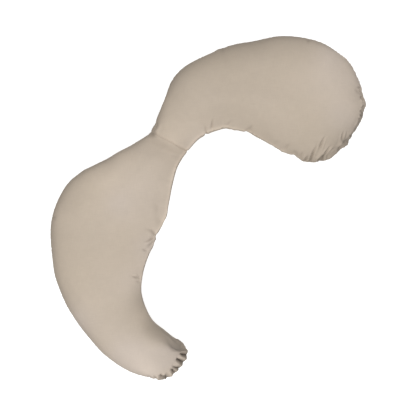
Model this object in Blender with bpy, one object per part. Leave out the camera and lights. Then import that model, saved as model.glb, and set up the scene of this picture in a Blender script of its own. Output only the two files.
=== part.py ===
"""Body pillow: one long filled cushion, bent into a crook and lying on its back.

Two fabric panels of the same outline are sewn together all round and filled tight. A wide head part
and a wide leg part meet at a narrow neck, where a cross seam draws the cover in, and the leg part
runs down into a tapering tail. The lower panel is flat where it lies on the surface.

Metres, +Z up. The pillow rests on z = 0, with the origin under the middle of its outline.
"""

import math

import bmesh
import bpy
from mathutils import Vector

# One row per cross section, from the tip of the tail to the far end of the head: the point on the
# outer edge, the point on the inner edge, the full thickness there, and the mesh rows up to the
# next section. The ends are finer, because the gathers are there. The outer side is alike all
# along. On the inner side, the height of the edge seam as a share of the thickness, how flat the
# top stays, and how it meets the seam: 0.4 upright and round, 1 as a slope.
SECTION_COLUMNS = (
    "name", "outer_x", "outer_y", "inner_x", "inner_y", "thickness", "rows",
    "inner_seam", "inner_flat", "inner_edge",
)
SECTIONS = (
    ("tip corner", -0.190, -0.564, -0.079, -0.455, 0.112, 10, 0.42, 4.0, 1.00),
    ("tail 1", -0.248, -0.545, -0.136, -0.411, 0.130, 6, 0.42, 4.0, 1.00),
    ("tail 2", -0.312, -0.507, -0.178, -0.373, 0.142, 4, 0.44, 3.8, 0.95),
    ("tail 3", -0.368, -0.460, -0.205, -0.327, 0.150, 4, 0.46, 3.2, 0.80),
    ("tail 4", -0.425, -0.385, -0.217, -0.268, 0.156, 4, 0.50, 2.8, 0.70),
    ("shin 1", -0.474, -0.307, -0.212, -0.214, 0.160, 6, 0.56, 2.4, 0.70),
    ("shin 2", -0.506, -0.221, -0.197, -0.167, 0.164, 5, 0.60, 2.2, 0.75),
    ("leg 1", -0.519, -0.132, -0.182, -0.124, 0.168, 8, 0.62, 2.1, 0.80),
    ("leg 2", -0.518, -0.047, -0.161, -0.080, 0.170, 5, 0.64, 2.0, 0.85),
    ("leg 3", -0.496, 0.026, -0.136, -0.031, 0.171, 4, 0.66, 2.0, 0.90),
    ("leg 4", -0.450, 0.095, -0.125, 0.023, 0.170, 4, 0.66, 2.0, 0.90),
    ("leg 5", -0.371, 0.143, -0.116, 0.073, 0.163, 4, 0.66, 2.0, 0.90),
    ("waist 1", -0.282, 0.190, -0.101, 0.128, 0.146, 4, 0.64, 2.0, 0.90),
    ("waist 2", -0.223, 0.225, -0.083, 0.163, 0.126, 5, 0.62, 2.0, 0.85),
    ("neck", -0.189, 0.253, -0.066, 0.187, 0.110, 5, 0.60, 2.0, 0.80),
    ("collar 1", -0.166, 0.304, -0.037, 0.222, 0.122, 4, 0.62, 2.0, 0.80),
    ("collar 2", -0.145, 0.355, -0.004, 0.242, 0.138, 4, 0.64, 2.0, 0.80),
    ("head 1", -0.125, 0.414, 0.031, 0.254, 0.150, 5, 0.64, 2.0, 0.80),
    ("head 2", -0.080, 0.466, 0.067, 0.262, 0.160, 4, 0.62, 2.1, 0.80),
    ("head 3", 0.008, 0.511, 0.120, 0.250, 0.167, 4, 0.58, 2.2, 0.75),
    ("head 4", 0.107, 0.545, 0.177, 0.225, 0.170, 4, 0.54, 2.4, 0.65),
    ("head 5", 0.206, 0.563, 0.234, 0.194, 0.171, 5, 0.50, 2.6, 0.55),
    ("head 6", 0.295, 0.565, 0.296, 0.164, 0.169, 9, 0.47, 2.8, 0.48),
    ("head 7", 0.379, 0.542, 0.356, 0.152, 0.163, 12, 0.45, 3.0, 0.42),
    ("head corner", 0.451, 0.494, 0.438, 0.191, 0.152, 0, 0.44, 3.0, 0.40),
)

# The round ends of the outline, each from its outer corner to its inner corner.
TIP_END = (
    (-0.190, -0.564),
    (-0.142, -0.566),
    (-0.105, -0.541),
    (-0.081, -0.512),
    (-0.070, -0.482),
    (-0.079, -0.455),
)
HEAD_END = (
    (0.451, 0.494),
    (0.480, 0.464),
    (0.502, 0.415),
    (0.512, 0.372),
    (0.521, 0.340),
    (0.511, 0.301),
    (0.492, 0.262),
    (0.469, 0.227),
    (0.438, 0.191),
)

# Gathers and folds, each a trough that starts at the edge seam and dies out on the panel. "depth"
# is the share of the local height that the trough takes, and "dent" is how far the stitch line is
# drawn in at its mouth. The lobes are the slack cloth between them, which bulges out.
FOLD_COLUMNS = ("name", "seam_x", "seam_y", "inner_x", "inner_y", "depth", "width", "dent")
FOLDS = (
    ("tip 1", -0.070, -0.492, -0.100, -0.475, 0.40, 0.009, 0.003),
    ("tip 2", -0.080, -0.509, -0.115, -0.489, 0.48, 0.010, 0.005),
    ("tip 3", -0.095, -0.533, -0.121, -0.511, 0.42, 0.009, 0.004),
    ("tip 4", -0.109, -0.546, -0.132, -0.525, 0.36, 0.009, 0.003),
    ("tip 5", -0.137, -0.565, -0.141, -0.535, 0.40, 0.009, 0.003),
    ("tip 6", -0.154, -0.565, -0.166, -0.540, 0.34, 0.009, 0.003),
    ("tip 7", -0.192, -0.561, -0.196, -0.545, 0.18, 0.009, 0.002),
    ("calf 1", -0.214, -0.243, -0.252, -0.224, 0.24, 0.011, 0.001),
    ("calf 2", -0.214, -0.228, -0.238, -0.218, 0.14, 0.010, 0.001),
    ("hip 1", -0.172, -0.093, -0.210, -0.072, 0.30, 0.013, 0.003),
    ("hip 2", -0.182, -0.112, -0.212, -0.120, 0.26, 0.012, 0.002),
    ("hip 3", -0.193, -0.139, -0.221, -0.136, 0.18, 0.012, 0.001),
    ("throat 1", -0.008, 0.241, -0.013, 0.272, 0.28, 0.010, 0.002),
    ("throat 2", 0.016, 0.250, 0.018, 0.296, 0.18, 0.011, 0.001),
    ("throat 3", 0.082, 0.259, 0.084, 0.278, 0.16, 0.010, 0.001),
    ("throat 4", 0.122, 0.250, 0.148, 0.275, 0.28, 0.011, 0.002),
    ("cheek 1", 0.305, 0.164, 0.326, 0.188, 0.20, 0.010, 0.000),
    ("cheek 2", 0.337, 0.152, 0.368, 0.214, 0.34, 0.011, 0.001),
    ("cheek 3", 0.368, 0.156, 0.390, 0.232, 0.42, 0.011, 0.003),
    ("cheek 4", 0.383, 0.159, 0.410, 0.210, 0.34, 0.010, 0.001),
    ("cheek 5", 0.402, 0.168, 0.430, 0.206, 0.30, 0.011, 0.001),
    ("cheek 6", 0.438, 0.193, 0.447, 0.256, 0.36, 0.011, 0.003),
    ("cheek 7", 0.456, 0.210, 0.460, 0.254, 0.24, 0.010, 0.001),
    ("cheek lobe", 0.392, 0.168, 0.380, 0.200, 0.00, 0.022, -0.006),
    ("chin lobe", 0.453, 0.209, 0.430, 0.230, 0.00, 0.012, -0.004),
    ("brow 1", 0.506, 0.399, 0.480, 0.396, 0.18, 0.010, 0.001),
    ("brow 2", 0.516, 0.361, 0.488, 0.360, 0.22, 0.010, 0.002),
    ("brow 3", 0.516, 0.322, 0.490, 0.330, 0.26, 0.010, 0.003),
    ("brow 4", 0.512, 0.303, 0.486, 0.310, 0.24, 0.010, 0.001),
)

# The cross seam at the neck: a shallow sewn channel over the whole width, on both panels.
NECK_SEAM_OUTER = Vector((-0.187, 0.252))
NECK_SEAM_INNER = Vector((-0.066, 0.187))
NECK_SEAM_WIDTH = 0.009
NECK_SEAM_DEPTH = 0.14
NECK_SEAM_DENT = 0.003

OUTER_SEAM = 0.44  # height of the edge seam on the outer side, as a share of the thickness
OUTER_FLAT, OUTER_EDGE = 3.0, 0.40  # how flat the top stays there, and how upright it ends
UNDER_FLAT, UNDER_EDGE = 2.5, 0.42  # the same for the underside
PRESS_SHARE = 0.12  # what the weight presses flat underneath, as a share of the thickness
TIP_RISE, TIP_FLAT, TIP_EDGE = 1.35, 2.6, 0.42  # sections over which the crown rises at the tip
HEAD_RISE, HEAD_FLAT, HEAD_EDGE = 1.90, 2.8, 0.40  # and at the head end
END_REACH = 3.0  # sections over which the round of an end fades into straight sections
END_CROWDING = 1.8  # 1 spaces the rows of the first and last section evenly, more crowds the end
ACROSS = 23  # mesh columns from the outer to the inner edge
PROFILE_STEPS = 160  # fine steps in which a section's outline is measured to place the columns
STITCH_GAP = 1e-5  # points of the two panels this close are one point of the edge seam

FABRIC_COLOUR = (0.508, 0.434, 0.361, 1.0)  # taupe
FABRIC_ROUGHNESS = 0.85


def column(rows, columns, name):
    index = columns.index(name)
    return [row[index] for row in rows]


def points_of(rows, columns, x, y):
    return [Vector(pair) for pair in zip(column(rows, columns, x), column(rows, columns, y))]


def smooth(values, place):
    """The value at a fractional index, on a smooth curve through all the values."""
    last = len(values) - 1
    start = min(max(int(place), 0), last - 1)
    t = place - start
    before = values[start - 1] if start > 0 else values[0] * 2 - values[1]
    after = values[start + 2] if start < last - 1 else values[last] * 2 - values[last - 1]
    here, there = values[start], values[start + 1]
    return 0.5 * (
        here * 2
        + (there - before) * t
        + (before * 2 - here * 5 + there * 4 - after) * t**2
        + (here * 3 - before - there * 3 + after) * t**3
    )


OUTER_LINE = points_of(SECTIONS, SECTION_COLUMNS, "outer_x", "outer_y")
INNER_LINE = points_of(SECTIONS, SECTION_COLUMNS, "inner_x", "inner_y")
THICKNESS = column(SECTIONS, SECTION_COLUMNS, "thickness")
INNER_SEAM = column(SECTIONS, SECTION_COLUMNS, "inner_seam")
INNER_FLAT = column(SECTIONS, SECTION_COLUMNS, "inner_flat")
INNER_EDGE = column(SECTIONS, SECTION_COLUMNS, "inner_edge")
LAST_SECTION = len(SECTIONS) - 1


def round_end(corners, across, distance):
    """How far an end's curve bulges past its straight section, fading with distance in sections."""
    points = [Vector(corner) for corner in corners]
    chord = points[0].lerp(points[-1], across)
    fade = max(0.0, 1.0 - distance / END_REACH) ** 2
    return (smooth(points, across * (len(points) - 1)) - chord) * fade


def plan_point(along, across):
    """A point of the flat outline: along counts sections, across runs from outer to inner edge."""
    straight = smooth(OUTER_LINE, along).lerp(smooth(INNER_LINE, along), across)
    tip = round_end(TIP_END, across, along)
    head = round_end(HEAD_END, across, LAST_SECTION - along)
    return straight + tip + head


def stitch_dent(point):
    """How the gathers and the neck seam draw the outline in."""
    dent = Vector((0.0, 0.0))
    for _, seam_x, seam_y, inner_x, inner_y, _, width, size in FOLDS:
        mouth = Vector((seam_x, seam_y))
        inwards = (Vector((inner_x, inner_y)) - mouth).normalized()
        nearness = math.exp(-((point - mouth).length_squared) / width**2)
        dent += inwards * size * nearness
    for mouth, far in ((NECK_SEAM_OUTER, NECK_SEAM_INNER), (NECK_SEAM_INNER, NECK_SEAM_OUTER)):
        inwards = (far - mouth).normalized()
        nearness = math.exp(-((point - mouth).length_squared) / NECK_SEAM_WIDTH**2)
        dent += inwards * NECK_SEAM_DENT * nearness
    return dent


def trough(point, start, end, width):
    """1 in the middle of a trough's mouth, falling off to its sides and towards its far end."""
    run = end - start
    share = (point - start).dot(run) / run.length_squared
    side = (point - start - run * share).length
    fade = min(max(1.0 - share, 0.0), 1.0)
    return fade**0.7 * math.exp(-((side / width) ** 1.5)) if share > -1.0 else 0.0


def sewn_down(point):
    """The share of the local height that gathers and the neck seam take away."""
    taken = 0.0
    for _, seam_x, seam_y, inner_x, inner_y, depth, width, _ in FOLDS:
        start, end = Vector((seam_x, seam_y)), Vector((inner_x, inner_y))
        if (point - start).length < 3 * (end - start).length:
            taken = max(taken, depth * trough(point, start, end, width))
    run = NECK_SEAM_INNER - NECK_SEAM_OUTER
    share = (point - NECK_SEAM_OUTER).dot(run) / run.length_squared
    side = (point - NECK_SEAM_OUTER - run * share).length
    if -0.2 < share < 1.2:
        taken = max(taken, NECK_SEAM_DEPTH * math.exp(-((side / NECK_SEAM_WIDTH) ** 2)))
    return taken


def full_round(aside, flat, edge):
    """Height of a crown of 1 at a distance aside, which is 1 where the crown ends."""
    return max(0.0, 1.0 - aside**flat) ** edge


def end_rise(along):
    """How far the crown has risen from the seams of the two ends, from 0 to 1."""
    from_tip = max(0.0, 1.0 - along / TIP_RISE)
    from_head = max(0.0, 1.0 - (LAST_SECTION - along) / HEAD_RISE)
    return full_round(from_tip, TIP_FLAT, TIP_EDGE) * full_round(from_head, HEAD_FLAT, HEAD_EDGE)


def top_crown(along, across):
    """The upper panel's share of its full height, on the outer and on the inner side."""
    aside = abs(2.0 * across - 1.0)
    if across < 0.5:
        return full_round(aside, OUTER_FLAT, OUTER_EDGE)
    return full_round(aside, smooth(INNER_FLAT, along), smooth(INNER_EDGE, along))


def panel_point(along, across, panel):
    """A point of the upper panel (panel = 1) or of the lower panel (panel = -1)."""
    flat = plan_point(along, across)
    thickness = smooth(THICKNESS, along)
    rise = end_rise(along) * (1.0 - sewn_down(flat))
    seam_share = OUTER_SEAM + (smooth(INNER_SEAM, along) - OUTER_SEAM) * across
    seam_height = seam_share * thickness
    if panel > 0:
        height = seam_height + (thickness - seam_height) * top_crown(along, across) * rise
    else:
        under = full_round(abs(2.0 * across - 1.0), UNDER_FLAT, UNDER_EDGE) * rise
        height = max(0.0, seam_height - (seam_height + PRESS_SHARE * thickness) * under)
    flat += stitch_dent(flat)
    return Vector((flat.x, flat.y, height))


def along_steps():
    """The mesh rows as fractional section numbers, with each section's own number of rows."""
    steps = []
    for section, rows in enumerate(column(SECTIONS, SECTION_COLUMNS, "rows")):
        for row in range(rows):
            share = row / rows
            if section == 0:
                share = share**END_CROWDING
            if section == LAST_SECTION - 1:
                share = 1.0 - (1.0 - share) ** END_CROWDING
            steps.append(section + share)
    return steps + [float(LAST_SECTION)]


def across_steps(along):
    """Places of the mesh columns at a row, evenly spaced over the curve of the upper panel."""
    width = (smooth(OUTER_LINE, along) - smooth(INNER_LINE, along)).length
    height = smooth(THICKNESS, along) * end_rise(along) / 2.0
    turns = [math.pi * step / PROFILE_STEPS for step in range(PROFILE_STEPS + 1)]
    fine = [(1.0 - math.cos(turn)) / 2.0 for turn in turns]
    run = [0.0]
    for here, there in zip(fine, fine[1:]):
        rise = (top_crown(along, there) - top_crown(along, here)) * height
        run.append(run[-1] + math.hypot((there - here) * width, rise))
    steps = []
    index = 0
    for place in range(ACROSS):
        goal = run[-1] * place / ACROSS
        while run[index + 1] < goal:
            index += 1
        share = (goal - run[index]) / (run[index + 1] - run[index])
        steps.append(fine[index] + (fine[index + 1] - fine[index]) * share)
    return steps + [1.0]


def add_panel(mesh, panel):
    """Lays a square grid over the outline and raises it into one of the two panels."""
    rows = along_steps()
    columns = [across_steps(along) for along in rows]
    grid = bmesh.ops.create_grid(mesh, x_segments=len(rows) - 1, y_segments=ACROSS, size=0.5)
    for vertex in grid["verts"]:
        row = round((vertex.co.x + 0.5) * (len(rows) - 1))
        place = round((vertex.co.y + 0.5) * ACROSS)
        vertex.co = panel_point(rows[row], columns[row][place], panel)


def centre_on_origin(mesh):
    xs = [vertex.co.x for vertex in mesh.verts]
    ys = [vertex.co.y for vertex in mesh.verts]
    middle = Vector(((min(xs) + max(xs)) / 2, (min(ys) + max(ys)) / 2, 0.0))
    bmesh.ops.translate(mesh, verts=mesh.verts, vec=-middle)


def fabric_material():
    material = bpy.data.materials.new("taupe fabric")
    material.use_nodes = True
    shader = material.node_tree.nodes["Principled BSDF"]
    shader.inputs["Base Color"].default_value = FABRIC_COLOUR
    shader.inputs["Roughness"].default_value = FABRIC_ROUGHNESS
    shader.inputs["Metallic"].default_value = 0.0
    return material


def make_pillow(collection):
    mesh = bmesh.new()
    add_panel(mesh, panel=1)
    add_panel(mesh, panel=-1)
    bmesh.ops.remove_doubles(mesh, verts=mesh.verts, dist=STITCH_GAP)
    bmesh.ops.recalc_face_normals(mesh, faces=mesh.faces)
    centre_on_origin(mesh)
    data = bpy.data.meshes.new("pillow")
    mesh.to_mesh(data)
    mesh.free()
    data.shade_smooth()
    data.materials.append(fabric_material())
    pillow = bpy.data.objects.new("pillow", data)
    collection.objects.link(pillow)
    return pillow


for leftover in list(bpy.data.objects):
    bpy.data.objects.remove(leftover, do_unlink=True)
body_pillow = bpy.data.collections.new("body pillow")
bpy.context.scene.collection.children.link(body_pillow)
make_pillow(body_pillow)
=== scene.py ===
import math

import bpy
import numpy as np
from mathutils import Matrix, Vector


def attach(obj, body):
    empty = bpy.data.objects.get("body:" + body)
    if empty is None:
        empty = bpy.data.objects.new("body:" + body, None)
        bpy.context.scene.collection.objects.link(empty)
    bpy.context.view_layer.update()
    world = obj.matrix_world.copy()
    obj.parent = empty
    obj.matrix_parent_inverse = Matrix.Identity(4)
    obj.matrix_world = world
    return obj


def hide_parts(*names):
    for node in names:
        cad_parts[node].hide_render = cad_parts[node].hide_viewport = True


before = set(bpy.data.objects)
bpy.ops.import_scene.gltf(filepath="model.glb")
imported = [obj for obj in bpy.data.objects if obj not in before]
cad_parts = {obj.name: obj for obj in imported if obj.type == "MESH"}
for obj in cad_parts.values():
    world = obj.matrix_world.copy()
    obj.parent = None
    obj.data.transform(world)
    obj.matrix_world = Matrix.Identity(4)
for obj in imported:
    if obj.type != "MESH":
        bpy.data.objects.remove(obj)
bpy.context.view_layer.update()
scene = bpy.context.scene


# ---------------------------------------------------------------------------------------------
# The cover: two panels of smooth taupe satin cotton with the same outline, sewn together all round
# with the seam turned inside, then filled tight with loose fibre. The filling crowns both panels,
# draws the sides in, and the cloth gathers wherever the outline turns sharply.

# A row per cross section, from the tip of the tail to the round end of the head: the outline on the
# outer side and on the inner side, the full thickness there, and the height of the two edge seams as
# shares of the thickness. The outer side is round all along. On the inner side the table has how flat
# the top stays, how it meets the seam (0.4 upright and round, 1 as a slope), and how far the seam is
# rolled in.
SECTION_COLUMNS = (
    "name", "outer_x", "outer_y", "inner_x", "inner_y", "thickness",
    "outer_seam", "inner_seam", "inner_flat", "inner_edge", "inner_roll",
)
SECTIONS = (
    ("tip corner", -0.190, -0.564, -0.081, -0.448, 0.112, 0.50, 0.30, 5.0, 1.00, 0.002),
    ("tail 1", -0.248, -0.545, -0.136, -0.411, 0.130, 0.50, 0.36, 4.2, 1.00, 0.004),
    ("tail 2", -0.312, -0.507, -0.181, -0.375, 0.142, 0.48, 0.46, 3.3, 1.00, 0.004),
    ("tail 3", -0.368, -0.460, -0.205, -0.327, 0.150, 0.47, 0.54, 2.8, 0.98, 0.003),
    ("tail 4", -0.425, -0.385, -0.217, -0.268, 0.156, 0.49, 0.59, 2.5, 1.00, 0.003),
    ("shin 1", -0.474, -0.307, -0.212, -0.214, 0.160, 0.48, 0.64, 2.2, 1.05, 0.003),
    ("shin 2", -0.506, -0.221, -0.197, -0.167, 0.164, 0.48, 0.67, 2.1, 1.08, 0.004),
    ("leg 1", -0.519, -0.132, -0.180, -0.125, 0.168, 0.49, 0.67, 2.0, 1.10, 0.004),
    ("leg 2", -0.518, -0.047, -0.161, -0.080, 0.170, 0.52, 0.68, 2.0, 1.15, 0.004),
    ("leg 3", -0.496, 0.026, -0.136, -0.031, 0.171, 0.58, 0.68, 2.0, 1.20, 0.004),
    ("leg 4", -0.450, 0.095, -0.125, 0.023, 0.170, 0.63, 0.67, 2.0, 1.25, 0.004),
    ("leg 5", -0.371, 0.143, -0.116, 0.073, 0.163, 0.69, 0.70, 2.0, 1.30, 0.004),
    ("waist 1", -0.282, 0.190, -0.101, 0.128, 0.146, 0.75, 0.75, 2.0, 1.35, 0.004),
    ("waist 2", -0.223, 0.225, -0.083, 0.163, 0.126, 0.66, 0.76, 2.0, 1.40, 0.003),
    ("neck", -0.189, 0.253, -0.066, 0.187, 0.110, 0.54, 0.75, 2.0, 1.40, 0.002),
    ("collar 1", -0.166, 0.304, -0.037, 0.222, 0.122, 0.59, 0.76, 2.0, 1.40, 0.003),
    ("collar 2", -0.145, 0.355, -0.004, 0.242, 0.138, 0.58, 0.75, 2.0, 1.40, 0.004),
    ("head 1", -0.125, 0.414, 0.031, 0.254, 0.150, 0.52, 0.72, 2.0, 1.35, 0.004),
    ("head 2", -0.080, 0.466, 0.067, 0.262, 0.160, 0.50, 0.66, 2.1, 1.30, 0.004),
    ("head 3", 0.008, 0.511, 0.120, 0.250, 0.167, 0.50, 0.60, 2.2, 1.15, 0.003),
    ("head 4", 0.107, 0.545, 0.177, 0.225, 0.170, 0.48, 0.55, 2.4, 0.95, 0.002),
    ("head 5", 0.206, 0.563, 0.234, 0.194, 0.171, 0.48, 0.55, 2.5, 0.82, 0.000),
    ("head 6", 0.295, 0.565, 0.296, 0.164, 0.169, 0.54, 0.48, 2.6, 0.64, 0.000),
    ("head 7", 0.379, 0.542, 0.356, 0.152, 0.163, 0.67, 0.32, 2.6, 0.42, 0.000),
    ("head corner", 0.451, 0.494, 0.438, 0.191, 0.152, 0.74, 0.26, 2.6, 0.40, 0.000),
)
# The round ends of the outline, each from its outer corner to its inner one.
TIP_END = (
    (-0.190, -0.566), (-0.148, -0.572), (-0.108, -0.551),
    (-0.082, -0.520), (-0.068, -0.484), (-0.081, -0.448),
)
HEAD_END = (
    (0.451, 0.494), (0.477, 0.462), (0.500, 0.414),
    (0.514, 0.372), (0.524, 0.340), (0.514, 0.300),
    (0.493, 0.261), (0.469, 0.227), (0.438, 0.191),
)
NECK = [row[0] for row in SECTIONS].index("neck")
LAST_SECTION = len(SECTIONS) - 1

OUTER_FLAT, OUTER_EDGE = 3.0, 0.40  # how flat the top stays on the outer side, how upright it ends
UNDER_FLAT, UNDER_EDGE = 2.5, 0.42  # the same for the underside
PRESS_SHARE = 0.12  # what the weight presses flat underneath, as a share of the thickness
ROLL_OUT = 1.2  # how far the lower panel bulges past a rolled seam, as a share of the roll
TIP_RISE, TIP_FLAT, TIP_EDGE = 1.35, 2.6, 0.42  # sections in which the crown rises at the tip
HEAD_RISE, HEAD_FLAT, HEAD_EDGE = 1.90, 2.8, 0.40  # the same at the head end
END_REACH = 3.0  # sections over which the round of an end fades into straight sections

ROWS, COLUMNS = 560, 136  # squares of the upper panel along and across the pillow
UNDER_STEP = 2  # the lower panel has only every second row and column
EDGE_CROWDING, EDGE_CROWD_REACH = 1.4, 0.025  # how much the mesh columns crowd at the edge seams
FINE_ROWS, FINE_COLUMNS = 6001, 1201  # points at which the way over the cloth is measured

# Where the mesh rows lie closer together, because the cloth is gathered there: the place and the
# reach in sections, and how much closer.
CLOSE_ROWS = (
    ("tip", 0.0, 1.6, 2.4),
    ("calf", 5.3, 0.35, 1.0),
    ("hip", 7.1, 0.45, 1.6),
    ("neck", 14.0, 0.25, 3.0),
    ("throat", 17.0, 1.0, 2.2),
    ("head end", 24.0, 1.6, 2.4),
)


def section_values(*names):
    """These columns of the table, a row for each section."""
    indices = [SECTION_COLUMNS.index(name) for name in names]
    return np.array([[row[index] for index in indices] for row in SECTIONS])


def unit(vectors):
    return vectors / np.linalg.norm(vectors, axis=-1, keepdims=True)


def bell(distance, reach):
    """1 at no distance, about a third at the reach and almost nothing at twice the reach."""
    return np.exp(-((distance / reach) ** 2))


def curve_through(points, place):
    """Values on a smooth curve through the given ones, which place counts from 0."""
    points = np.asarray(points, float)
    ends = 2 * points[0] - points[1], 2 * points[-1] - points[-2]
    padded = np.concatenate([ends[0][None], points, ends[1][None]])
    start = np.clip(np.floor(place).astype(int), 0, len(points) - 2)
    t = (place - start).reshape([-1] + [1] * (points.ndim - 1))
    before, here, there, after = (padded[start + k] for k in range(4))
    return 0.5 * (
        2 * here
        + (there - before) * t
        + (2 * before - 5 * here + 4 * there - after) * t**2
        + (3 * here - before - 3 * there + after) * t**3
    )


def full_round(aside, flat, edge):
    """Height of a crown of 1 at a distance aside, which is 1 where the crown ends."""
    return np.clip(1 - aside**flat, 0, 1) ** edge


def end_rise(along):
    """How far the crown has risen from the seams of the two ends, from 0 to 1."""
    from_tip = np.clip(1 - along / TIP_RISE, 0, 1)
    from_head = np.clip(1 - (LAST_SECTION - along) / HEAD_RISE, 0, 1)
    return full_round(from_tip, TIP_FLAT, TIP_EDGE) * full_round(from_head, HEAD_FLAT, HEAD_EDGE)


def even_places(fine, steps, count):
    """Values of fine that cut the way along it, with those steps, into count even parts."""
    run = np.concatenate([[0], np.cumsum(steps)])
    return np.interp(np.linspace(0, run[-1], count + 1), run, fine)


def row_places(count):
    """Places of the mesh rows in sections, even along the crown but closer at the gathers."""
    fine = LAST_SECTION * (1 - np.cos(np.linspace(0, math.pi, FINE_ROWS))) / 2
    edges = section_values("outer_x", "outer_y") + section_values("inner_x", "inner_y")
    middle = curve_through(edges / 2, fine)
    height = curve_through(section_values("thickness"), fine)[:, 0] * end_rise(fine) / 2
    steps = np.linalg.norm(np.diff(np.column_stack([middle, height]), axis=0), axis=1)
    place = (fine[1:] + fine[:-1]) / 2
    closeness = 1
    for _, middle_place, reach, extra in CLOSE_ROWS:
        closeness = closeness + extra * bell(place - middle_place, reach)
    rows = even_places(fine, steps * closeness, count)
    rows[np.argmin(abs(rows - NECK))] = NECK
    return rows


def column_places(along, count):
    """Per row, the places of the mesh columns of the upper and of the lower panel.

    They are 0 at the outer edge seam and 1 at the inner one, and spread evenly over the cloth but
    closer at the seams. Both panels have the same ones at the two ends, where they share them.
    """
    fine = (1 - np.cos(np.linspace(0, math.pi, FINE_COLUMNS))) / 2
    aside = abs(2 * fine - 1)
    width = section_values("outer_x", "outer_y") - section_values("inner_x", "inner_y")
    width = np.linalg.norm(curve_through(width, along), axis=1)
    height = curve_through(section_values("thickness"), along)[:, 0] * end_rise(along)
    columns = "inner_flat", "inner_edge", "outer_seam", "inner_seam"
    flat, edge, *seams = curve_through(section_values(*columns), along).T
    under = full_round(aside, UNDER_FLAT, UNDER_EDGE)
    places = [], []
    for row in range(len(along)):
        inner_crown = full_round(aside, flat[row], edge[row])
        crown = np.where(fine < 0.5, full_round(aside, OUTER_FLAT, OUTER_EDGE), inner_crown)
        drop = under * np.where(fine < 0.5, seams[0][row], seams[1][row])
        for panel_places, profile in zip(places, (crown / 2, drop)):
            steps = np.hypot(np.diff(fine) * width[row], np.diff(profile) * height[row])
            reached = np.cumsum(steps)
            from_seam = np.minimum(reached, reached[-1] - reached)
            steps = steps * (1 + EDGE_CROWDING * np.exp(-from_seam / EDGE_CROWD_REACH))
            panel_places.append(even_places(fine, steps, count))
    upper_places, lower_places = np.array(places)
    apart = np.clip(np.minimum(along, LAST_SECTION - along) / 2, 0, 1)[:, None]
    return upper_places, upper_places + (lower_places - upper_places) * apart**2 * (3 - 2 * apart)


def round_end(corners, across, distance):
    """How far an end's curve bulges past its straight section, fading with distance in sections."""
    corners = np.array(corners)
    chord = corners[0] + (corners[-1] - corners[0]) * across[..., None]
    curve = curve_through(corners, across.ravel() * (len(corners) - 1)).reshape(chord.shape)
    fade = np.clip(1 - distance / END_REACH, 0, 1) ** 2
    return (curve - chord) * fade[:, None, None]


def filled_panels(along, both_across, filled):
    """Upper and lower panel as grids of points, with that share of the full height."""
    outer_edge = curve_through(section_values("outer_x", "outer_y"), along)
    inner_edge = curve_through(section_values("inner_x", "inner_y"), along)
    columns = SECTION_COLUMNS[SECTION_COLUMNS.index("thickness") :]
    thickness, outer_seam, inner_seam, flat, edge, roll = curve_through(
        section_values(*columns), along
    ).T[..., None]
    outwards = unit(inner_edge - outer_edge)
    inner_edge = inner_edge - outwards * roll
    rise = end_rise(along)[:, None] * filled
    plans, seams = [], []
    for across in both_across:
        plan = outer_edge[:, None] + (inner_edge - outer_edge)[:, None] * across[..., None]
        plan += round_end(TIP_END, across, along)
        plan += round_end(HEAD_END, across, LAST_SECTION - along)
        plans.append(plan)
        seams.append(thickness * (outer_seam + (inner_seam - outer_seam) * across))
    across, under_across = both_across
    aside = abs(2 * across - 1)
    outer_crown = full_round(aside, OUTER_FLAT, OUTER_EDGE)
    crown = np.where(across < 0.5, outer_crown, full_round(aside, flat, edge)) * rise
    top = seams[0] + (thickness - seams[0]) * crown
    under_crown = full_round(abs(2 * under_across - 1), UNDER_FLAT, UNDER_EDGE) * rise
    drop = (seams[1] + PRESS_SHARE * thickness) * under_crown
    bulge = ROLL_OUT * roll * np.sin(math.pi * np.clip(drop / seams[1], 0, 1))
    under_plan = plans[1] + outwards[:, None] * (bulge * (under_across > 0.5))[..., None]
    return np.dstack([plans[0], top]), np.dstack([under_plan, np.maximum(seams[1] - drop, 0)])


def sewn_mesh(name, upper, lower, step):
    """One closed mesh from two grids, which share the points of their edge seam.

    The lower grid has only every step-th row and column. Its outermost squares take the points of
    the seam that lie between their corners as corners of their own.
    """
    rows, columns = upper.shape[:2]
    upper_ids = np.arange(rows * columns).reshape(rows, columns)
    lower_ids = upper_ids[::step, ::step].copy()
    inside = lower[::step, ::step][1:-1, 1:-1]
    lower_ids[1:-1, 1:-1] = np.arange(inside[..., 0].size).reshape(inside.shape[:2])
    lower_ids[1:-1, 1:-1] += rows * columns
    between = {}
    for line in (upper_ids[0], upper_ids[-1], upper_ids[:, 0], upper_ids[:, -1]):
        for way in (line.tolist(), line.tolist()[::-1]):
            for start in range(0, len(way) - 1, step):
                between[way[start], way[start + step]] = way[start + 1 : start + step]

    def squares(ids):
        corners = ids[:-1, :-1], ids[:-1, 1:], ids[1:, 1:], ids[1:, :-1]
        return np.stack([corner.ravel() for corner in corners], axis=1)

    faces = squares(upper_ids).tolist()
    for square in squares(lower_ids)[:, ::-1].tolist():
        corners = []
        for here, there in zip(square, square[1:] + square[:1]):
            corners += [here] + between.get((here, there), [])
        faces.append(corners)
    points = np.vstack([upper.reshape(-1, 3), inside.reshape(-1, 3)])
    mesh = bpy.data.meshes.new(name)
    mesh.from_pydata(points.tolist(), [], faces)
    mesh.update()
    return mesh, upper_ids, lower_ids


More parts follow.
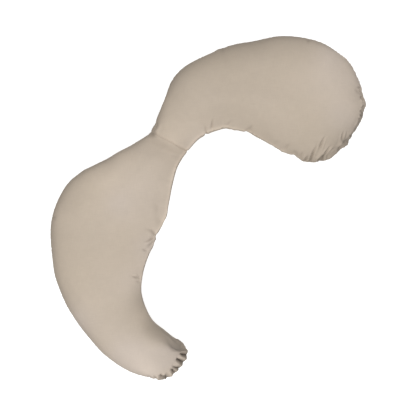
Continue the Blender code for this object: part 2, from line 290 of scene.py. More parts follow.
# The filling: a cloth simulation swells the sewn panels from inside, with the stitches held, and
# its result is carried over to the finer mesh.
FORM_ROWS, FORM_COLUMNS = 230, 50  # squares of the mesh that swells
UNFILLED = 0.95  # its height before it swells, as a share of the full height
PRESSURE, SWELL_FRAMES = 4.0, 20
CLOTH_QUALITY, CLOTH_MASS = 5, 0.3
CLOTH_STIFFNESS, CLOTH_BENDING = 15.0, 0.5
SLACK = 0.01  # extra cloth next to the edge seam, which the pressure throws into drag lines
SLACK_REACH = 0.09
MOST_SWELL = 0.005  # no point moves further than this
EVENING = 10  # rounds in which each point's move is evened out with those of its neighbours

form_along = row_places(FORM_ROWS)
form_across = column_places(form_along, FORM_COLUMNS)
form_upper, form_lower = filled_panels(form_along, form_across, UNFILLED)


def in_scene(name, data):
    """A new object in the scene, with that mesh, lamp or lens."""
    made = bpy.data.objects.new(name, data)
    scene.collection.objects.link(made)
    return made


def points_of(mesh):
    points = np.empty(len(mesh.vertices) * 3, np.float32)
    mesh.vertices.foreach_get("co", points)
    return points.reshape(-1, 3)


def swollen(upper, lower):
    """How far each point of the two grids moves when the cover is filled."""
    mesh, upper_ids, lower_ids = sewn_mesh("filled_form", upper, lower, 1)
    form = in_scene("filled_form", mesh)
    seam = np.ones(upper_ids.shape, bool)
    seam[1:-1, 1:-1] = False
    stitched = form.vertex_groups.new(name="stitched")
    stitched.add(upper_ids[seam].tolist(), 1.0, "REPLACE")
    loose = form.vertex_groups.new(name="loose")
    middle = upper[:, FORM_COLUMNS // 2, None]
    to_edge = np.linalg.norm((upper - middle)[:, :1], axis=2)
    from_edge = to_edge - np.linalg.norm(upper - middle, axis=2)
    nearness = np.clip(1 - from_edge / SLACK_REACH, 0, 1)
    for ids in (upper_ids, lower_ids):
        for point, weight in zip(ids.ravel().tolist(), nearness.ravel().tolist()):
            loose.add([point], weight, "REPLACE")
    cloth = form.modifiers.new("filling", "CLOTH")
    cloth.settings.quality = CLOTH_QUALITY
    cloth.settings.mass = CLOTH_MASS
    cloth.settings.tension_stiffness = CLOTH_STIFFNESS
    cloth.settings.compression_stiffness = CLOTH_STIFFNESS
    cloth.settings.shear_stiffness = CLOTH_STIFFNESS / 3
    cloth.settings.bending_stiffness = CLOTH_BENDING
    cloth.settings.use_pressure = True
    cloth.settings.uniform_pressure_force = PRESSURE
    cloth.settings.vertex_group_mass = "stitched"
    cloth.settings.vertex_group_shrink = "loose"
    cloth.settings.shrink_min = 0.0
    cloth.settings.shrink_max = -SLACK
    cloth.settings.effector_weights.gravity = 0.0
    cloth.collision_settings.use_collision = False
    cloth.point_cache.frame_start = 1
    cloth.point_cache.frame_end = SWELL_FRAMES
    for step in range(1, SWELL_FRAMES + 1):
        scene.frame_set(step)
    evaluated = form.evaluated_get(bpy.context.evaluated_depsgraph_get())
    places = points_of(evaluated.data).astype(float)
    scene.frame_set(1)
    bpy.data.objects.remove(form)
    moves = []
    for grid, ids in ((upper, upper_ids), (lower, lower_ids)):
        move = places[ids] - grid
        length = np.linalg.norm(move, axis=2, keepdims=True)
        move *= np.minimum(1, MOST_SWELL / np.maximum(length, 1e-9))
        for _ in range(EVENING):
            move[1:-1] = (move[:-2] + 2 * move[1:-1] + move[2:]) / 4
            move[:, 1:-1] = (move[:, :-2] + 2 * move[:, 1:-1] + move[:, 2:]) / 4
        moves.append(move)
    return moves


along = row_places(ROWS)
across = column_places(along, COLUMNS)
upper, lower = filled_panels(along, across, UNFILLED)
row_place = np.interp(along, form_along, np.arange(FORM_ROWS + 1))
column_place = np.linspace(0, FORM_COLUMNS, COLUMNS + 1)
for panel, move in zip((upper, lower), swollen(form_upper, form_lower)):
    finer = curve_through(move, row_place).swapaxes(0, 1)
    panel += curve_through(finer, column_place).swapaxes(0, 1)

# Where the seam bulges out between gathers, or is drawn in by them: the cloth round a place is
# shifted in the plan, fading with the reach. Place, shift and reach, in metres.
SHIFTS = (
    ("chin", 0.459, 0.208, 0.0050, -0.0050, 0.016),
    ("cheek", 0.404, 0.168, 0.0045, -0.0080, 0.030),
    ("under cheek", 0.315, 0.153, -0.0018, -0.0040, 0.013),
    ("before cheek", 0.284, 0.174, 0.0024, 0.0065, 0.011),
    ("throat 1", 0.244, 0.187, -0.0010, -0.0025, 0.010),
    ("throat 2", 0.081, 0.258, -0.0010, -0.0038, 0.011),
    ("throat 3", 0.137, 0.247, 0.0012, 0.0035, 0.012),
    ("brow", 0.517, 0.320, -0.0050, 0.0000, 0.011),
    ("above brow", 0.507, 0.396, 0.0030, 0.0006, 0.010),
    ("below brow", 0.472, 0.233, 0.0026, -0.0018, 0.010),
    ("calf", -0.180, -0.120, 0.0035, -0.0012, 0.013),
    ("tip corner", -0.077, -0.459, 0.0022, 0.0010, 0.015),
    ("tip flank", -0.092, -0.442, 0.0020, 0.0034, 0.015),
    ("below tip", -0.141, -0.566, 0.0000, -0.0040, 0.009),
    ("jaw", 0.461, 0.211, 0.0030, -0.0020, 0.014),
    ("edge of head", 0.034, 0.527, -0.0010, 0.0030, 0.012),
    ("neck pinch", -0.182, 0.266, -0.0030, 0.0015, 0.012),
    ("hip", -0.143, -0.042, 0.0045, -0.0022, 0.038),
    ("back of waist", -0.330, 0.165, 0.0015, -0.0030, 0.035),
    ("waist", -0.262, 0.202, 0.0012, -0.0030, 0.034),
    ("back of hip", -0.405, 0.130, -0.0012, 0.0022, 0.022),
    ("neck corner", -0.190, 0.253, -0.0036, 0.0026, 0.016),
    ("collar", -0.133, 0.389, 0.0024, -0.0008, 0.030),
    ("crown of head", 0.140, 0.551, 0.0008, -0.0036, 0.045),
    ("top of head", 0.228, 0.566, 0.0000, 0.0030, 0.045),
)
for _, x, y, shift_x, shift_y, reach in SHIFTS:
    for panel in (upper, lower):
        near = bell(np.hypot(panel[..., 0] - x, panel[..., 1] - y), reach)
        panel[..., 0] += shift_x * near
        panel[..., 1] += shift_y * near


def way_round(line):
    """The direction of a closed line at each of its points."""
    return unit(np.roll(line, -2, 0) - np.roll(line, 2, 0))


# The stitch line runs once round the cover: along the outer edge, the head end, the inner edge and
# the tip. Each gets its run along the seam, and each point its way to the four of them.
up, over = np.arange(ROWS), np.arange(COLUMNS)
seam_rows = np.concatenate([up, np.full(COLUMNS, ROWS), ROWS - up, np.zeros(COLUMNS, int)])
seam_columns = np.concatenate([np.zeros(ROWS, int), over, np.full(ROWS, COLUMNS), COLUMNS - over])
seam_line = upper[seam_rows, seam_columns]
forward = way_round(seam_line)
seam_outward = unit(np.column_stack([-forward[:, 1], forward[:, 0], np.zeros(len(forward))]))
seam_run = np.zeros(upper.shape[:2])
seam_steps = np.linalg.norm(np.diff(seam_line, axis=0), axis=1)
seam_run[seam_rows, seam_columns] = np.concatenate([[0], np.cumsum(seam_steps)])


def surface_normals(grid, side):
    """Unit vectors that point out of a panel, and level outwards on its edge seam."""
    normals = np.cross(np.gradient(grid, axis=1), np.gradient(grid, axis=0)) * side
    normals /= np.maximum(np.linalg.norm(normals, axis=2, keepdims=True), 1e-12)
    normals[seam_rows, seam_columns] = seam_outward
    return normals


def ways_to_seam(grid):
    """Per edge: every point's way to it over the cloth, and the run along the seam there."""
    over = np.linalg.norm(np.diff(grid, axis=1), axis=2).cumsum(1)
    down = np.linalg.norm(np.diff(grid, axis=0), axis=2).cumsum(0)
    over = np.concatenate([np.zeros((len(grid), 1)), over], axis=1)
    down = np.concatenate([np.zeros((1, grid.shape[1])), down], axis=0)
    return (
        (over, seam_run[:, :1]),
        (over[:, -1:] - over, seam_run[:, -1:]),
        (down, seam_run[:1]),
        (down[-1:] - down, seam_run[-1:]),
    )


# Gathers and creases: each is a sharp valley between two bulges, or with sharp 0 a soft hollow, and
# a soft ridge where the depth is negative. It starts at the edge seam, or with mouth 0 on the panel
# itself, and dies out at its inner end. The bend is how far its middle lies aside, as a share of its
# length. Place at the seam, place at the inner end, bend, depth, width, mouth, sharp; in metres.
CREASES = (
    ("tip ridge", -0.067, -0.477, -0.126, -0.474, 0.00, -0.0050, 0.0040, 0.8, 0),
    ("tip flank", -0.071, -0.464, -0.142, -0.424, 0.06, 0.0150, 0.0130, 0.5, 0),
    ("tail seam", -0.1515, -0.4055, -0.0875, -0.4470, 0.00, 0.0050, 0.0024, 0, 1),
    ("tip 1", -0.069, -0.488, -0.095, -0.476, 0.03, 0.0220, 0.0045, 1, 1),
    ("tip 2", -0.086, -0.507, -0.102, -0.487, 0.10, 0.0090, 0.0045, 0.5, 1),
    ("tip 3", -0.080, -0.512, -0.112, -0.502, -0.10, 0.0210, 0.0050, 1, 1),
    ("tip 4", -0.093, -0.534, -0.118, -0.516, 0.12, 0.0200, 0.0050, 1, 1),
    ("tip 5", -0.087, -0.522, -0.101, -0.520, 0.00, 0.0080, 0.0042, 0.6, 1),
    ("tip 6", -0.109, -0.546, -0.126, -0.529, -0.10, 0.0210, 0.0048, 1, 1),
    ("tip 7", -0.134, -0.566, -0.137, -0.544, 0.05, 0.0280, 0.0064, 1, 1),
    ("tip 8", -0.147, -0.568, -0.156, -0.543, 0.08, 0.0250, 0.0062, 1, 1),
    ("tip 9", -0.171, -0.567, -0.178, -0.549, 0.00, 0.0070, 0.0042, 1, 1),
    ("tip 10", -0.193, -0.561, -0.197, -0.548, 0.00, 0.0040, 0.0040, 1, 1),
    ("calf 1", -0.2200, -0.2300, -0.2520, -0.2205, 0.04, 0.0065, 0.0034, 0, 1),
    ("calf 2", -0.2190, -0.2420, -0.2420, -0.2365, 0.03, 0.0042, 0.0034, 0, 1),
    ("calf 3", -0.2200, -0.2265, -0.2345, -0.2155, 0.03, 0.0035, 0.0034, 0, 1),
    ("hip 1", -0.168, -0.092, -0.212, -0.070, -0.20, 0.0075, 0.0055, 0.8, 1),
    ("hip 2", -0.180, -0.099, -0.212, -0.112, 0.05, 0.0070, 0.0050, 0.8, 1),
    ("hip ridge", -0.176, -0.102, -0.209, -0.122, 0.00, -0.0060, 0.0036, 0.7, 0),
    ("hip 3", -0.180, -0.112, -0.203, -0.130, 0.05, 0.0075, 0.0065, 0.7, 1),
    ("hip 4", -0.196, -0.138, -0.218, -0.134, 0.05, 0.0045, 0.0045, 0, 1),
    ("hip drag 1", -0.150, -0.052, -0.176, 0.004, 0.05, 0.0025, 0.0120, 1, 0),
    ("hip drag 2", -0.164, 0.018, -0.166, -0.025, 0.00, 0.0020, 0.0130, 0, 0),
    ("waist drag", -0.095, 0.172, -0.130, 0.176, 0.10, 0.0020, 0.0070, 1, 0),
    ("neck pinch 1", -0.193, 0.250, -0.168, 0.232, 0.05, 0.0090, 0.0070, 1, 1),
    ("neck pinch 2", -0.182, 0.262, -0.166, 0.292, -0.05, 0.0090, 0.0060, 1, 1),
    ("throat 1", -0.007, 0.242, -0.014, 0.276, -0.12, 0.0060, 0.0032, 1, 1),
    ("throat 2", 0.013, 0.256, 0.018, 0.296, 0.03, 0.0050, 0.0032, 0, 1),
    ("throat 3", 0.060, 0.268, 0.084, 0.292, 0.00, 0.0025, 0.0045, 0, 1),
    ("throat 4", 0.079, 0.259, 0.086, 0.274, 0.05, 0.0030, 0.0040, 1, 1),
    ("throat 5", 0.127, 0.254, 0.147, 0.276, -0.08, 0.0055, 0.0034, 0.4, 1),
    ("throat 6", 0.124, 0.250, 0.142, 0.258, 0.00, 0.0045, 0.0038, 0.6, 1),
    ("cheek 1", 0.304, 0.172, 0.314, 0.188, 0.03, 0.0040, 0.0040, 1, 1),
    ("cheek 2", 0.318, 0.154, 0.336, 0.178, 0.04, 0.0080, 0.0030, 1, 1),
    ("cheek 3", 0.337, 0.156, 0.366, 0.216, 0.06, 0.0100, 0.0032, 1, 1),
    ("cheek 4", 0.366, 0.188, 0.391, 0.240, 0.08, 0.0080, 0.0036, 0.3, 1),
    ("cheek 5", 0.369, 0.158, 0.379, 0.178, -0.08, 0.0220, 0.0042, 1, 1),
    ("cheek 6", 0.380, 0.163, 0.411, 0.209, 0.05, 0.0130, 0.0034, 1, 1),
    ("cheek 7", 0.396, 0.170, 0.428, 0.203, 0.04, 0.0130, 0.0038, 1, 1),
    ("cheek 8", 0.439, 0.196, 0.458, 0.213, 0.02, 0.0140, 0.0044, 1, 1),
    ("cheek 12", 0.445, 0.214, 0.447, 0.256, 0.05, 0.0080, 0.0038, 0.5, 1),
    ("cheek 9", 0.453, 0.218, 0.460, 0.254, 0.03, 0.0090, 0.0034, 0.6, 1),
    ("cheek 10", 0.409, 0.174, 0.428, 0.196, 0.00, 0.0060, 0.0034, 1, 1),
    ("cheek 11", 0.456, 0.208, 0.470, 0.246, 0.00, 0.0140, 0.0060, 1, 1),
    ("jaw 1", 0.250, 0.194, 0.276, 0.214, 0.05, 0.0050, 0.0034, 0.6, 1),
    ("jaw 2", 0.212, 0.208, 0.246, 0.220, 0.05, 0.0030, 0.0040, 0.6, 1),
    ("brow 1", 0.506, 0.400, 0.484, 0.397, 0.05, 0.0085, 0.0040, 1, 1),
    ("brow hollow", 0.510, 0.383, 0.478, 0.388, 0.00, 0.0070, 0.0085, 0.8, 0),
    ("brow 2", 0.510, 0.365, 0.494, 0.360, 0.05, 0.0080, 0.0040, 1, 1),
    ("brow 3", 0.513, 0.330, 0.500, 0.332, 0.00, 0.0090, 0.0040, 1, 1),
    ("brow 4", 0.511, 0.316, 0.498, 0.322, 0.00, 0.0110, 0.0040, 1, 1),
    ("brow 5", 0.510, 0.303, 0.497, 0.308, 0.00, 0.0130, 0.0038, 1, 1),
    ("brow 6", 0.502, 0.292, 0.490, 0.297, 0.00, 0.0060, 0.0040, 1, 1),
    ("brow seam 0", 0.503, 0.402, 0.511, 0.372, 0.00, 0.0080, 0.0034, 0, 1),
    ("brow seam 1", 0.508, 0.369, 0.516, 0.344, 0.00, 0.0100, 0.0034, 0, 1),
    ("brow seam 2", 0.518, 0.338, 0.507, 0.312, 0.00, 0.0150, 0.0036, 0, 1),
    ("jaw seam 1", 0.513, 0.304, 0.476, 0.239, 0.00, 0.0150, 0.0036, 0.3, 1),
    ("jaw seam 2", 0.487, 0.255, 0.448, 0.196, 0.00, 0.0130, 0.0036, 0, 1),
    ("top 1", 0.047, 0.527, 0.050, 0.500, 0.00, 0.0050, 0.0045, 1, 1),
    ("top 2", 0.331, 0.555, 0.324, 0.535, 0.00, 0.0040, 0.0045, 1, 1),
    ("back 1", -0.511, -0.030, -0.490, -0.034, 0.00, 0.0040, 0.0045, 1, 1),
)
SHOULDER = 0.30  # height of the cloth that a crease throws up on both sides, as a share of depth
SHOULDER_PLACE, SHOULDER_WIDTH = 2.1, 0.9  # how far aside, and how wide, in widths of the crease
PINCH = 0.30  # how much the cloth next to a crease is drawn towards it
SEAM_NOTCH, SEAM_DIP = 0.12, 0.82  # how much of its depth goes inwards and down on the edge seam
SEAM_ZONE = 0.008  # and how far from the seam its depth goes straight into the cloth instead
PAST_SEAM = 0.008  # how far a crease reaches past its outer end
MOUTH_WIDTH, NARROWING = 1.25, 0.55  # of a crease at its outer end, and from there to its inner end
UNDER_FOLD_HEIGHT = 0.045  # the creases die out below this height, where the weight presses
SWELL_ZONE = 0.018  # how far from the seam the cloth between creases stands up freely


def crease_moves(plan):
    """Depth of the creases over the plan, of the sharp valleys alone, and the pull to the side."""
    depth_there = np.zeros(plan.shape[:2])
    valleys_there = np.zeros(plan.shape[:2])
    sideways_there = np.zeros(plan.shape)
    for _, seam_x, seam_y, inner_x, inner_y, bend, depth, width, mouth, sharp in CREASES:
        run = np.array((inner_x - seam_x, inner_y - seam_y))
        length = np.hypot(*run)
        forward = run / length
        sideways = np.array((-forward[1], forward[0]))
        offset = plan - np.array((seam_x, seam_y))
        on = offset @ forward / length
        share = np.clip(on, 0, 1)
        side = offset @ sideways - bend * length * 4 * share * (1 - share)
        behind = bell(np.minimum(on, 0) * length, PAST_SEAM)
        open_fade = (1 - share**2) ** 2
        closed_fade = np.sin(math.pi * share**0.7) ** 1.5
        fade = (mouth * open_fade + (1 - mouth) * closed_fade) * behind
        spread = abs(side) / (width * (MOUTH_WIDTH - NARROWING * share))
        valley = np.exp(-spread) if sharp else np.exp(-(spread**2))
        shoulders = SHOULDER * bell(spread - SHOULDER_PLACE, SHOULDER_WIDTH) * sharp
        depth_there += depth * fade * (valley - shoulders)
        valleys_there += depth * fade * valley * sharp
        pull = PINCH * np.sign(depth) * fade * np.exp(-(spread**2) / 2)
        sideways_there -= (pull * side)[..., None] * sideways
    return depth_there, valleys_there, sideways_there


# Small puckers all along the edge seam, where the stitches hold the cloth shorter than it is cut,
# and soft lumps of the filling under the whole cover.
PUCKER_LENGTHS = (0.0095, 0.0130, 0.0175, 0.0260)
PUCKER_BEAT = 9.3  # waves over which the puckers of one length grow and die down again
PUCKER_DEPTH, PUCKER_REACH, PUCKER_FADE = 0.00035, 0.016, 1.3
END_PUCKER_DEPTH, END_PUCKER_SECTIONS = 0.0003, 1.2  # added at the two ends
LUMPS, LUMP_LENGTHS, LUMP_DEPTH = 28, (0.09, 0.30), 0.0010
SEAM_GROOVE, SEAM_GROOVE_REACH = 0.0010, 0.0025
NECK_GROOVE, NECK_GROOVE_REACH = 0.0038, 0.0032
NECK_HOLLOW, NECK_HOLLOW_REACH = 0.0010, 0.030
chance = np.random.default_rng(7)
pucker_phases = chance.uniform(0, 2 * math.pi, (len(PUCKER_LENGTHS), 2))
lump_waves = []
for _ in range(LUMPS):
    heading = chance.normal(size=3)
    heading /= np.linalg.norm(heading)
    wave_length = chance.uniform(*LUMP_LENGTHS)
    lump_waves.append((heading * 2 * math.pi / wave_length, chance.uniform(0, 2 * math.pi)))


def puckers(grid, ends):
    depth = np.zeros(grid.shape[:2])
    for way, run in ways_to_seam(grid):
        ripple = 0
        for wave_length, (phase, slow_phase) in zip(PUCKER_LENGTHS, pucker_phases):
            strength = 0.5 + 0.5 * np.sin(2 * math.pi * run / (wave_length * PUCKER_BEAT) + slow_phase)
            ripple = ripple + strength * np.sin(2 * math.pi * run / wave_length + phase)
        depth += ripple * np.exp(-((way / PUCKER_REACH) ** PUCKER_FADE))
    return depth * (PUCKER_DEPTH + END_PUCKER_DEPTH * ends)


def lumps(grid):
    depth = sum(np.sin(grid @ wave + phase) for wave, phase in lump_waves)
    return depth * LUMP_DEPTH / math.sqrt(len(lump_waves) / 2)


ends = sum(np.exp(-way / END_PUCKER_SECTIONS)[:, None] for way in (along, LAST_SECTION - along))
neck_row = int(np.argmin(abs(along - NECK)))
finished, seam_ways, edge_ways, fold_depths = [], [], [], []
for panel, side in ((upper, 1), (lower, -1)):
    normals = surface_normals(panel, side)
    ways = ways_to_seam(panel)
    from_seam = np.minimum.reduce([way for way, _ in ways])
    down = ways[2][0]
    from_neck = abs(down - down[neck_row])
    folded, valleys, sideways = crease_moves(panel[..., :2])
    if side < 0:
        above_floor = np.clip(panel[..., 2] / UNDER_FOLD_HEIGHT, 0, 1)
        folded *= above_floor**2 * (3 - 2 * above_floor)
    seam_ways.append(np.minimum(from_seam, from_neck))
    edge_ways.append(from_seam)
    fold_depths.append(valleys)
    folded *= np.where(folded < 0, 1 - bell(from_seam, SWELL_ZONE), 1)
    at_seam = bell(from_seam, SEAM_ZONE)[..., None]
    fold_way = normals * (1 - at_seam + SEAM_NOTCH * at_seam)
    fold_way[..., 2:] += SEAM_DIP * at_seam
    depth = puckers(panel, ends) + lumps(panel)
    depth += SEAM_GROOVE * np.exp(-from_seam / SEAM_GROOVE_REACH)
    depth += NECK_GROOVE * np.exp(-from_neck / NECK_GROOVE_REACH)
    depth += NECK_HOLLOW * bell(from_neck, NECK_HOLLOW_REACH)
    moved = panel - depth[..., None] * normals - folded[..., None] * fold_way
    moved[..., :2] += sideways
    moved[..., 2] = np.maximum(moved[..., 2], 0)
    finished.append(moved)
upper, lower = finished
seam_points = (upper[seam_rows, seam_columns] + lower[seam_rows, seam_columns]) / 2
upper[seam_rows, seam_columns] = seam_points
lower[seam_rows, seam_columns] = seam_points
# Beside the stitch line neither panel dips past it into the other one.
for panel, step, past in ((upper, 1, np.maximum), (lower, UNDER_STEP, np.minimum)):
    for grid in (panel, panel.swapaxes(0, 1)):
        grid[step, :, 2] = past(grid[step, :, 2], grid[0, :, 2])
        grid[-1 - step, :, 2] = past(grid[-1 - step, :, 2], grid[-1, :, 2])

cover_mesh, upper_ids, lower_ids = sewn_mesh("pillow_cover", upper, lower, UNDER_STEP)
cover = in_scene("pillow_cover", cover_mesh)
cover.data.shade_smooth()

# Where each point lies on the cloth as it was cut, flat, for the weave: the middle of the panel as
# seen from above, and from there the way over the cloth to both sides.
middle_column = COLUMNS // 2
widthways = unit(upper[:, -1, :2] - upper[:, 0, :2])
over_upper = ways_to_seam(upper)[0][0]
over_lower = ways_to_seam(lower)[0][0]
over_lower = over_lower / over_lower[:, -1:] * over_upper[:, -1:]
cut = []
for over in (over_upper, over_lower):
    aside = over - over_upper[:, middle_column, None]
    cut.append(upper[:, middle_column, None, :2] + aside[..., None] * widthways[:, None])


def on_points(upper_values, lower_values):
    """One value a mesh point from the values of the two grids, the seam's from the upper one."""
    values = np.empty((len(cover_mesh.vertices), *upper_values.shape[2:]))
    values[upper_ids] = upper_values
    inside = lower_values[::UNDER_STEP, ::UNDER_STEP][1:-1, 1:-1]
    values[lower_ids[1:-1, 1:-1]] = inside
    return values


cut_points = on_points(*cut)
weave_map = cover_mesh.uv_layers.new(name="weave")
corner_points = np.empty(len(cover_mesh.loops), np.int32)
cover_mesh.loops.foreach_get("vertex_index", corner_points)
weave_map.data.foreach_set("uv", cut_points[corner_points].astype(np.float32).ravel())

# Painted light and shade on the satin: patches painted paler where more light falls, darker
# where shade falls, and a painted pink sheen on highlights and rims: the place, the reach, how
# much paler and how much pinker.
PAINTED_LIGHT_PATCHES = (
    ("left of head", 0.060, 0.400, 0.200, -0.085, 0.0),
    ("cheek", 0.350, 0.210, 0.120, -0.110, 0.0),
    ("jaw", 0.455, 0.210, 0.050, -0.080, 0.0),
    ("right of head", 0.440, 0.420, 0.130, 0.080, 0.7),
    ("edge of head", 0.450, 0.290, 0.060, 0.000, 0.5),
    ("waist", -0.190, 0.140, 0.120, 0.040, 0.3),
    ("left of waist", -0.330, 0.130, 0.090, 0.075, 0.0),
    ("back of leg", -0.200, 0.020, 0.110, 0.010, 0.5),
    ("calf", -0.225, -0.230, 0.080, 0.060, 0.5),
    ("left of leg", -0.400, -0.170, 0.160, -0.080, 0.0),
    ("bay", -0.200, -0.360, 0.040, 0.120, 0.0),
    ("collar", -0.110, 0.330, 0.055, -0.050, 0.0),
    ("hip", -0.190, -0.130, 0.050, -0.010, 0.7),
    ("throat", -0.030, 0.222, 0.045, 0.090, 0.4),
    ("neck", -0.130, 0.215, 0.060, 0.030, 0.0),
    ("tail", -0.310, -0.405, 0.100, -0.080, 0.0),
    ("left of tail", -0.440, -0.390, 0.080, 0.000, 0.7),
    ("end of tail", -0.250, -0.500, 0.085, 0.035, 1.5),
    ("tip", -0.130, -0.490, 0.050, -0.065, 1.2),
    ("tip flank", -0.092, -0.452, 0.026, -0.285, 0.0),
    ("shoulder", -0.146, 0.352, 0.036, 0.170, 0.0),
    ("top of leg", -0.285, 0.196, 0.046, 0.120, 0.0),
    ("hip top", -0.205, 0.225, 0.034, 0.080, 0.0),
    ("crown", -0.010, 0.512, 0.050, 0.100, 0.0),
    ("far crown", 0.400, 0.505, 0.055, 0.090, 0.6),
    ("brow", 0.505, 0.425, 0.034, 0.080, 0.3),
    ("top of thigh", -0.355, 0.125, 0.050, 0.060, 0.0),
    ("thigh", -0.290, 0.015, 0.050, 0.010, 0.6),
    ("outer leg", -0.515, -0.030, 0.050, 0.080, 0.0),
    ("outer shin", -0.508, -0.190, 0.060, 0.080, 0.0),
    ("shin", -0.255, -0.262, 0.055, 0.075, 0.1),
    ("outer tail", -0.435, -0.372, 0.036, 0.090, 0.3),
    ("inner tail", -0.213, -0.352, 0.030, 0.070, 0.0),
    ("inner edge", -0.112, 0.070, 0.040, 0.080, 0.0),
    ("inner waist", -0.070, 0.210, 0.032, -0.080, 0.0),
    ("tail bottom", -0.195, -0.540, 0.034, 0.060, 0.6),
    ("brow rim", 0.514, 0.326, 0.009, -0.130, 0.0),
    ("brow rim 2", 0.507, 0.306, 0.010, -0.200, 0.0),
    ("brow rim 3", 0.497, 0.284, 0.011, -0.290, 0.0),
    ("jaw rim 1", 0.486, 0.262, 0.010, -0.250, 0.0),
    ("jaw rim 2", 0.472, 0.238, 0.010, -0.200, 0.0),
    ("jaw rim 3", 0.459, 0.216, 0.009, -0.080, 0.0),
)
# A painted highlight along the seam of the inner rim, from the leg over the neck to the throat,
# where the light catches the seam's edge.
RIM_HIGHLIGHT_FROM, RIM_HIGHLIGHT_TO = 7.3, 22.8
RIM_HIGHLIGHT_PALER, RIM_HIGHLIGHT_REACH = 0.17, 0.011
rim_highlight_rows = np.clip(np.minimum(along - RIM_HIGHLIGHT_FROM, RIM_HIGHLIGHT_TO - along), 0, 1)[:, None]
# Deep in the gathers hardly any light reaches the cloth: how much darker it looks there, from which
# depth, and how fast it darkens up to that depth.
FOLD_SHADE, DEEP_FOLD, FOLD_DARKENING = 0.45, 0.020, 1.4
# Per panel the colour's tone, with painted shade deep in the gathers, the painted rim highlight and the
# painted light and shade of the patches, and how much painted pink sheen it has.
painted_light_tones, painted_pink_sheens = [], []
for panel, folds, edge_way in zip((upper, lower), fold_depths, edge_ways):
    shade_there = FOLD_SHADE if panel is upper else FOLD_SHADE / 2
    tone_and_painted_light = 1 - shade_there * np.clip(folds / DEEP_FOLD, 0, 1) ** FOLD_DARKENING
    inner_side = np.arange(panel.shape[1]) > panel.shape[1] / 2
    tone_and_painted_light += RIM_HIGHLIGHT_PALER * rim_highlight_rows * inner_side * bell(edge_way, RIM_HIGHLIGHT_REACH)
    painted_pink_sheen = np.zeros(panel.shape[:2])
    for _, x, y, reach, paler, pinker in PAINTED_LIGHT_PATCHES:
        near = bell(np.hypot(panel[..., 0] - x, panel[..., 1] - y), reach)
        tone_and_painted_light += paler * near
        painted_pink_sheen += pinker * near
    painted_light_tones.append(tone_and_painted_light)
    painted_pink_sheens.append(painted_pink_sheen)
for name, grids in (("tone_and_painted_light", painted_light_tones), ("painted_pink_sheen", painted_pink_sheens), ("seam_way", seam_ways)):
    values = on_points(*grids).astype(np.float32)
    cover_mesh.attributes.new(name, "FLOAT", "POINT").data.foreach_set("value", values)

WARP_PITCH, WEFT_PITCH = 0.00055, 0.0011
WAVE_LENGTH = 0.314  # distance between two bands of the wave texture at scale 1
SLUB_STRETCHES = (900, 35, 1), (30, 700, 1)  # slubs per metre across the cloth and along it
CLOUDS, MOTTLE, CREASING, GLOSS = 4.5, 38, 26, 60  # blotches per metre
NOISE_RANGE = 0.3, 0.7  # nearly all of a noise texture lies between these
SATIN = (0.461, 0.388, 0.309, 1)
PINK_SATIN = (0.457, 0.391, 0.333, 1)


def new_material(name):
    """A new material, its nodes and its shader."""
    made = bpy.data.materials.new(name)
    made.use_nodes = True
    return made, made.node_tree, made.node_tree.nodes["Principled BSDF"]


def plug(node, inputs):
    """Link the node's inputs to the sockets given for them, and set the others to their values."""
    for name, value in inputs.items():
        if isinstance(value, bpy.types.NodeSocket):
            node.id_data.links.new(value, node.inputs[name])
        else:
            node.inputs[name].default_value = value


def add_node(tree, kind, inputs, **settings):
    made = tree.nodes.new(kind)
    for name, value in settings.items():
        setattr(made, name, value)
    plug(made, inputs)
    return made


def ranged(value, from_low, from_high, to_low, to_high):
    """The value carried over from one range to another, and kept inside it."""
    limits = {"From Min": from_low, "From Max": from_high, "To Min": to_low, "To Max": to_high}
    return add_node(value.id_data, "ShaderNodeMapRange", {"Value": value, **limits}).outputs["Result"]


def product(first, second):
    inputs = {0: first, 1: second}
    return add_node(first.id_data, "ShaderNodeMath", inputs, operation="MULTIPLY").outputs["Value"]


def noise(where, scale, detail):
    inputs = {"Vector": where, "Scale": scale, "Detail": detail}
    return add_node(where.id_data, "ShaderNodeTexNoise", inputs).outputs["Fac"]


def bumped(height, metres, strength, below=None):
    """Relief of that height, on top of the relief below."""
    inputs = {"Height": height, "Distance": metres, "Strength": strength}
    if below:
        inputs["Normal"] = below
    return add_node(height.id_data, "ShaderNodeBump", inputs).outputs["Normal"]


satin, tree, shader = new_material("satin cotton")
here = tree.nodes.new("ShaderNodeTexCoord").outputs["Object"]
on_cloth = add_node(tree, "ShaderNodeUVMap", {}, uv_map="weave").outputs["UV"]
painted = {}
for name in ("tone_and_painted_light", "painted_pink_sheen", "seam_way"):
    painted[name] = add_node(tree, "ShaderNodeAttribute", {}, attribute_name=name).outputs["Fac"]

# Yarns: fine satin floats along the warp, a slow crossing of the weft, and thicker slubs here and
# there along both.
yarns = []
for direction, pitch, wobble in (("X", WARP_PITCH, 0.6), ("Y", WEFT_PITCH, 0.8)):
    bands = {"Vector": on_cloth, "Scale": WAVE_LENGTH / pitch, "Distortion": wobble, "Detail": 0}
    bands = add_node(tree, "ShaderNodeTexWave", bands, bands_direction=direction)
    yarns.append(bands.outputs["Fac"])
weave = product(yarns[0], ranged(yarns[1], 0, 1, 0.6, 1))
slubs = []
for stretch in SLUB_STRETCHES:
    stretched = add_node(tree, "ShaderNodeMapping", {"Vector": on_cloth, "Scale": stretch})
    slubs.append(ranged(noise(stretched.outputs["Vector"], 1, 1), 0.35, 0.75, 0.975, 1.025))
slub = product(*slubs)

